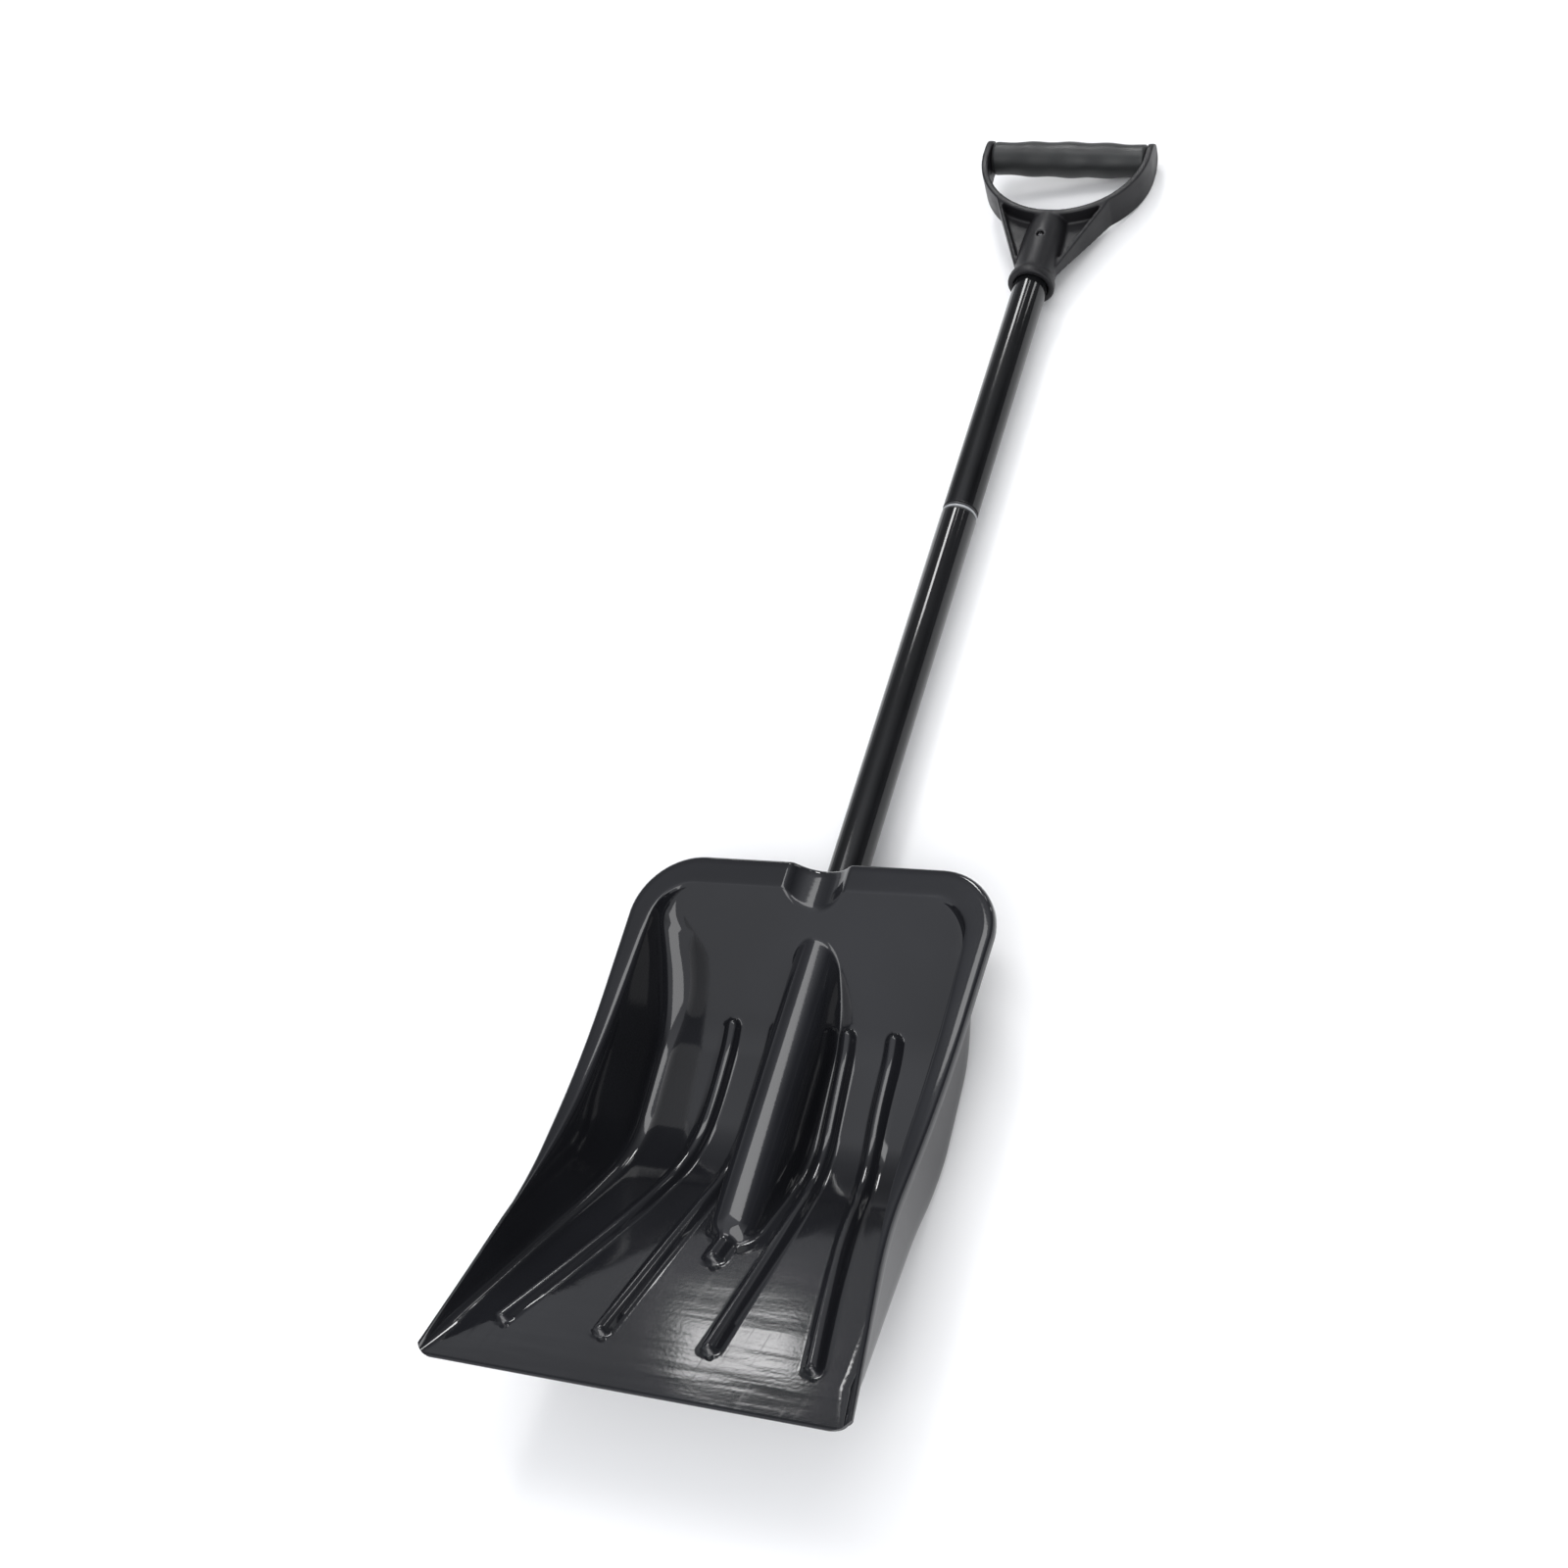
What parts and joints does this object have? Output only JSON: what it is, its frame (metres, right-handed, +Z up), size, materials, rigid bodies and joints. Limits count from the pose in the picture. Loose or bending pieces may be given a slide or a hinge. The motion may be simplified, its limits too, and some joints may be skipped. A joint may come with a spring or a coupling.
{
  "type": "snow shovel",
  "caption": "Black snow shovel with a ribbed deep plastic scoop, a steel shaft that screws together in the middle and a D-grip with a soft bar.",
  "frame": {"origin": "middle of the shovel's box at its lowest level, where it lies on its back on the scoop's heel and the grip", "axes": "+Y along the shaft from the scoop's front edge to the grip, +X across the scoop, +Z up, which is the scoop's open side"},
  "size_m": [0.27, 1.0124, 0.1006],
  "materials": {
    "scoop_plastic": "glossy black moulding, fine scuffs on the floor",
    "shaft_enamel": "high-gloss black enamel on round steel tube",
    "grip_plastic": "satin black, fine moulded grain",
    "grip_rubber": "soft-touch, low sheen",
    "washer_nylon": "plain grey nylon",
    "insert_plastic": "satin black, as moulded",
    "screw_steel": "blackened steel with bright edges"
  },
  "bodies": {
    "scoop_and_lower_shaft": {"scoop": "scoop_plastic", "scoop_screw_lower": "screw_steel", "scoop_screw_upper": "screw_steel", "lower_tube": "shaft_enamel", "thread_socket": "insert_plastic"},
    "washer": {"joint_washer": "washer_nylon"},
    "upper_shaft_and_grip": {"upper_tube": "shaft_enamel", "thread_plug": "insert_plastic", "grip_yoke": "grip_plastic", "grip_sleeve": "grip_rubber", "grip_screw": "screw_steel"}
  },
  "joints": [
    {"name": "shaft_unscrew", "type": "hinge", "parent": "scoop_and_lower_shaft", "child": "washer", "pos_m": [0, 0.14363, 0.02535], "axis": [0, 1, -0.0083], "range_deg": [0, 1710]},
    {"name": "shaft_advance", "type": "slide", "parent": "washer", "child": "upper_shaft_and_grip", "axis": [0, 1, -0.0083], "range_m": [0, 0.0238]}
  ],
  "couplings": [
    {"joint": "shaft_advance", "follows": "shaft_unscrew", "m_per_rad": 0.00079577}
  ]
}
